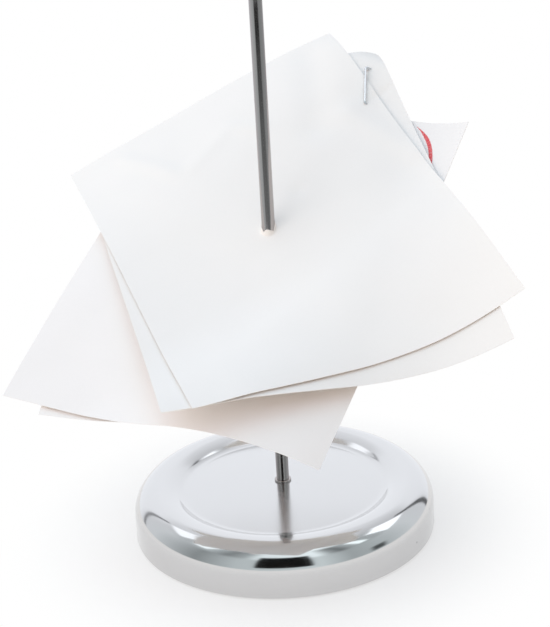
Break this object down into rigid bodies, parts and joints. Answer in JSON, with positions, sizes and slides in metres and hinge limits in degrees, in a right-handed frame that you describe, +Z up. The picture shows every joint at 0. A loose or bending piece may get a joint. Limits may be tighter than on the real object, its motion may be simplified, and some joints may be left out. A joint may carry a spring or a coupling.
{
  "type": "receipt spike",
  "caption": "Upright pointed steel rod on a weighted round chrome base, with till slips pushed down over the point and held by their grip on the rod.",
  "frame": {"origin": "on the rod's axis, on the flat underside of the foot pad that the base stands on", "axes": "+Z up along the rod to its point, -Y towards the viewer of the picture, +X to the viewer's right"},
  "size_m": [0.1208, 0.1187, 0.152],
  "materials": {
    "chrome_plate": "bright plated, mirror polish",
    "polished_rod": "bright drawn rod, polished",
    "cast_weight": "as cast",
    "zinc_steel": "zinc plated",
    "black_plate": "matte",
    "foam_pad": "fine closed-cell foam",
    "lower_paper": "uncoated, slightly warm white",
    "upper_paper": "smooth till paper, white",
    "staple_wire": "bright galvanised wire"
  },
  "bodies": {
    "stand": {"base_shell": "chrome_plate", "spike_rod": "polished_rod", "ballast_weight": "cast_weight", "plain_washer": "zinc_steel", "spring_washer": "zinc_steel", "hex_nut": "zinc_steel", "base_plate": "black_plate", "foot_pad": "foam_pad"},
    "lowest_slip": {"bottom_slip": "lower_paper"},
    "long_slip": {"third_slip": "lower_paper"},
    "stapled_slips": {"second_slip": "upper_paper", "top_slip": "upper_paper", "staple": "staple_wire"}
  },
  "joints": [
    {"name": "lowest_slip_slide", "type": "slide", "parent": "stand", "child": "lowest_slip", "axis": [0, 0, 1], "range_m": [-0.04, 0.078]},
    {"name": "long_slip_slide", "type": "slide", "parent": "lowest_slip", "child": "long_slip", "axis": [0, 0, 1], "range_m": [0, 0.078]},
    {"name": "stapled_slips_slide", "type": "slide", "parent": "long_slip", "child": "stapled_slips", "axis": [0, 0, 1], "range_m": [0, 0.076]}
  ]
}
